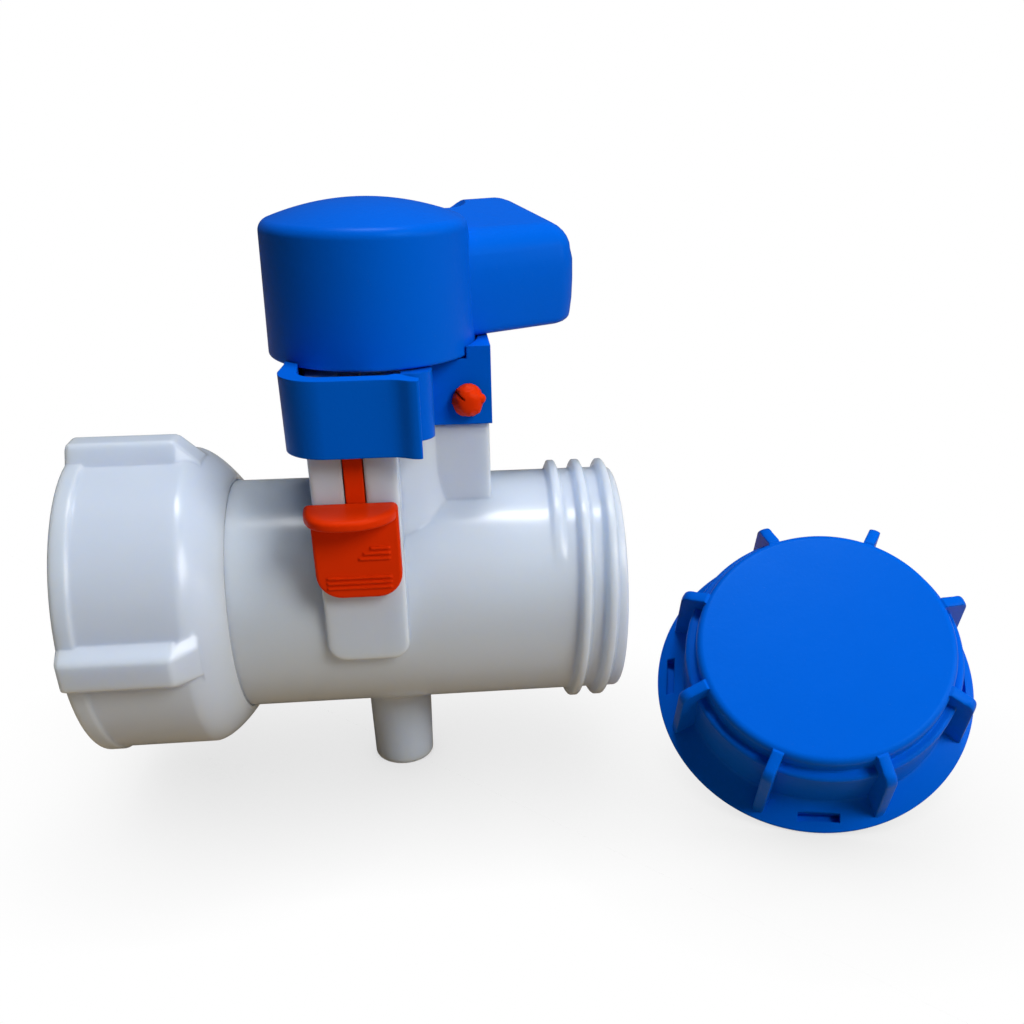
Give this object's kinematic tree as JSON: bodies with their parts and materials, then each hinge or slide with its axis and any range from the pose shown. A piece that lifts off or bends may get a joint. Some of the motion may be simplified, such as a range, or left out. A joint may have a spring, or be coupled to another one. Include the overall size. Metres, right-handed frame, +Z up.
{
  "type": "ibc tank valve",
  "caption": "Moulded plastic butterfly outlet valve for a bulk liquid container, with lever handle, locking slide, union nut and detached dust cap.",
  "frame": {"origin": "centre of the foot's flat end, on the stem's axis", "axes": "+X along the pipe towards the threaded outlet, +Y away from the side with the locking slide, +Z up along the stem"},
  "size_m": [0.2156, 0.0995, 0.1386],
  "materials": {
    "natural_polyethylene": "semi-gloss, slightly translucent",
    "white_disc": "satin moulded",
    "disc_rubber": "matt",
    "white_stem": "satin moulded",
    "white_washer": "satin moulded",
    "stem_rubber": "matt",
    "white_retainer": "satin moulded",
    "wiper_rubber": "matt",
    "white_bush": "satin moulded",
    "blue_handle": "semi-gloss moulded",
    "orange_slider": "semi-gloss moulded",
    "blue_clip": "semi-gloss moulded",
    "orange_pin": "semi-gloss moulded",
    "natural_nut": "semi-gloss, slightly translucent",
    "white_slip": "satin moulded",
    "white_keeper": "satin moulded",
    "gasket_rubber": "matt",
    "blue_cap": "semi-gloss moulded",
    "cap_rubber": "matt"
  },
  "bodies": {
    "body": {"valve_body": "natural_polyethylene", "lock_clip": "blue_clip", "clip_pin": "orange_pin", "stem_retainer": "white_retainer", "neck_wiper_ring": "wiper_rubber", "foot_bush": "white_bush", "nut_retaining_ring": "white_keeper", "inlet_gasket": "gasket_rubber"},
    "handle": {"handle": "blue_handle", "stem": "white_stem", "valve_disc": "white_disc", "disc_seal": "disc_rubber", "stem_o_ring_lower": "stem_rubber", "stem_o_ring_upper": "stem_rubber", "stem_thrust_washer": "white_washer"},
    "lock": {"lock_slider": "orange_slider"},
    "nut": {"coupling_nut": "natural_nut", "nut_slip_washer": "white_slip"},
    "cap": {"dust_cap": "blue_cap", "cap_gasket": "cap_rubber"}
  },
  "joints": [
    {"name": "handle_turn", "type": "hinge", "parent": "body", "child": "handle", "pos_m": [0, 0, 0.0488], "axis": [0, 0, 1], "range_deg": [-29, 61]},
    {"name": "lock_slide", "type": "slide", "parent": "body", "child": "lock", "axis": [0, 0, 1], "range_m": [0, 0.0075]},
    {"name": "nut_spin", "type": "hinge", "parent": "body", "child": "nut", "pos_m": [-0.0531, 0, 0.0488], "axis": [1, 0, 0], "continuous": true},
    {"name": "cap_lift", "type": "slide", "parent": "body", "child": "cap", "axis": [0, 0, 1], "range_m": [0, 0.12]}
  ]
}
